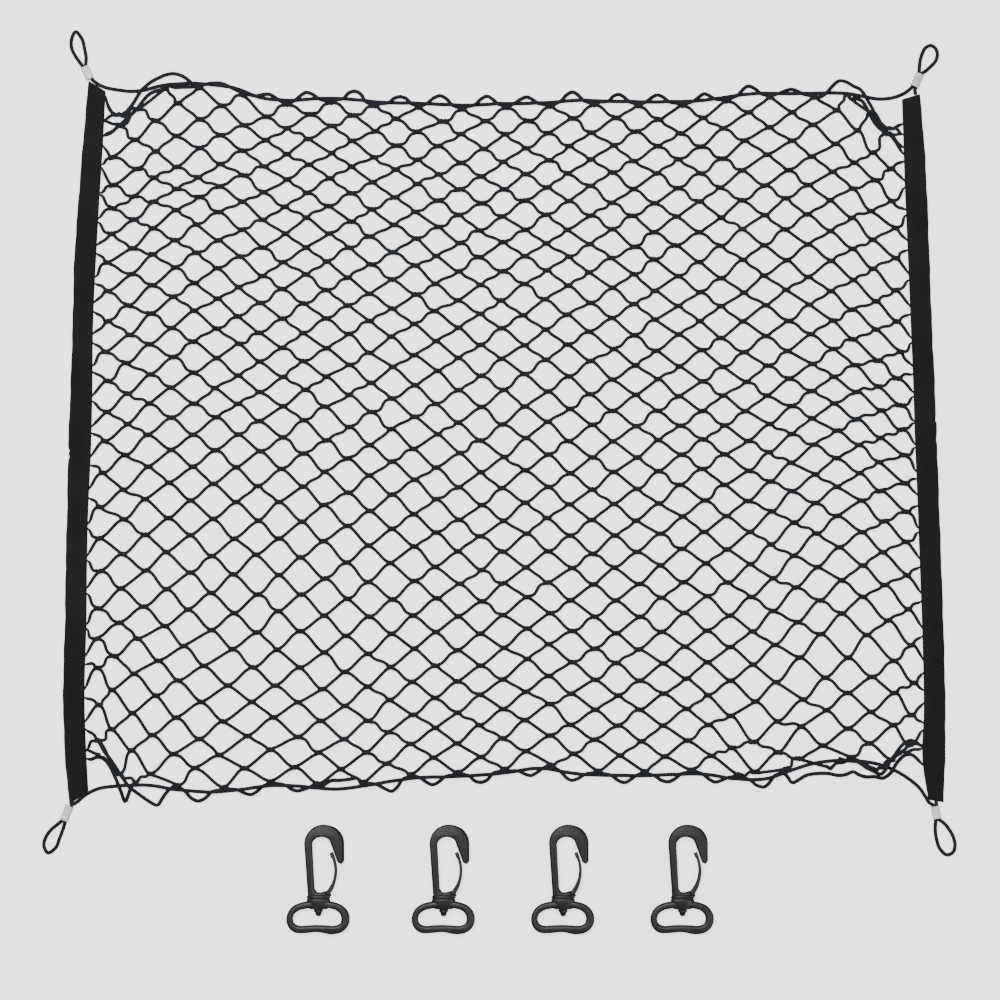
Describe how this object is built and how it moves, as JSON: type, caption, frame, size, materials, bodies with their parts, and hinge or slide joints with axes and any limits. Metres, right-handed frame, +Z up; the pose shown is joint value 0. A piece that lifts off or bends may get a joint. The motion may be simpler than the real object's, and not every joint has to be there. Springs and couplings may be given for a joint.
{
  "type": "cargo net with loose swivel snap hooks",
  "caption": "Flat elastic cargo net of black knotted mesh between two webbing bands, with a cord loop at each corner and loose plastic swivel hooks beside it.",
  "frame": {"origin": "middle of the whole set's footprint, on the floor that the net and the hooks lie on", "axes": "+Z up out of the floor and through the net's thickness, +X across the net from its left band to its right band, +Y from the hooks towards the net's top edge"},
  "size_m": [0.9503, 0.9394, 0.009],
  "materials": {
    "net_cord": "matte",
    "webbing": "matte",
    "elastic": "satin",
    "crimp": "satin",
    "moulding": "satin"
  },
  "bodies": {
    "root": {"net": "net_cord", "band_left": "webbing", "band_right": "webbing", "cord_top": "elastic", "cord_bottom": "elastic", "loop_tl": "elastic", "loop_tr": "elastic", "loop_bl": "elastic", "loop_br": "elastic", "ferrule_tl": "crimp", "ferrule_tr": "crimp", "ferrule_bl": "crimp", "ferrule_br": "crimp", "tail_tr": "elastic", "tail_br": "elastic", "eye_1": "moulding", "eye_2": "moulding", "eye_3": "moulding", "eye_4": "moulding"},
    "head_1": {"hook_1": "moulding"},
    "head_2": {"hook_2": "moulding"},
    "head_3": {"hook_3": "moulding"},
    "head_4": {"hook_4": "moulding"},
    "finger_1": {"gate_1": "moulding"},
    "finger_2": {"gate_2": "moulding"},
    "finger_3": {"gate_3": "moulding"},
    "finger_4": {"gate_4": "moulding"}
  },
  "joints": [
    {"name": "swivel_1", "type": "hinge", "parent": "root", "child": "head_1", "pos_m": [-0.188, -0.4327, 0.0045], "axis": [0, 1, 0], "continuous": true},
    {"name": "swivel_2", "type": "hinge", "parent": "root", "child": "head_2", "pos_m": [-0.058, -0.4327, 0.0045], "axis": [0, 1, 0], "continuous": true},
    {"name": "swivel_3", "type": "hinge", "parent": "root", "child": "head_3", "pos_m": [0.066, -0.4327, 0.0045], "axis": [0, 1, 0], "continuous": true},
    {"name": "swivel_4", "type": "hinge", "parent": "root", "child": "head_4", "pos_m": [0.19, -0.4327, 0.0045], "axis": [0, 1, 0], "continuous": true},
    {"name": "gate_swing_1", "type": "hinge", "parent": "head_1", "child": "finger_1", "pos_m": [-0.1775, -0.4261, 0.0045], "axis": [0, 0, 1], "range_deg": [0, 20], "stiffness_Nm_per_rad": 0.1, "springref_deg": -11.46},
    {"name": "gate_swing_2", "type": "hinge", "parent": "head_2", "child": "finger_2", "pos_m": [-0.0475, -0.4261, 0.0045], "axis": [0, 0, 1], "range_deg": [0, 20], "stiffness_Nm_per_rad": 0.1, "springref_deg": -11.46},
    {"name": "gate_swing_3", "type": "hinge", "parent": "head_3", "child": "finger_3", "pos_m": [0.0765, -0.4261, 0.0045], "axis": [0, 0, 1], "range_deg": [0, 20], "stiffness_Nm_per_rad": 0.1, "springref_deg": -11.46},
    {"name": "gate_swing_4", "type": "hinge", "parent": "head_4", "child": "finger_4", "pos_m": [0.2005, -0.4261, 0.0045], "axis": [0, 0, 1], "range_deg": [0, 20], "stiffness_Nm_per_rad": 0.1, "springref_deg": -11.46}
  ]
}
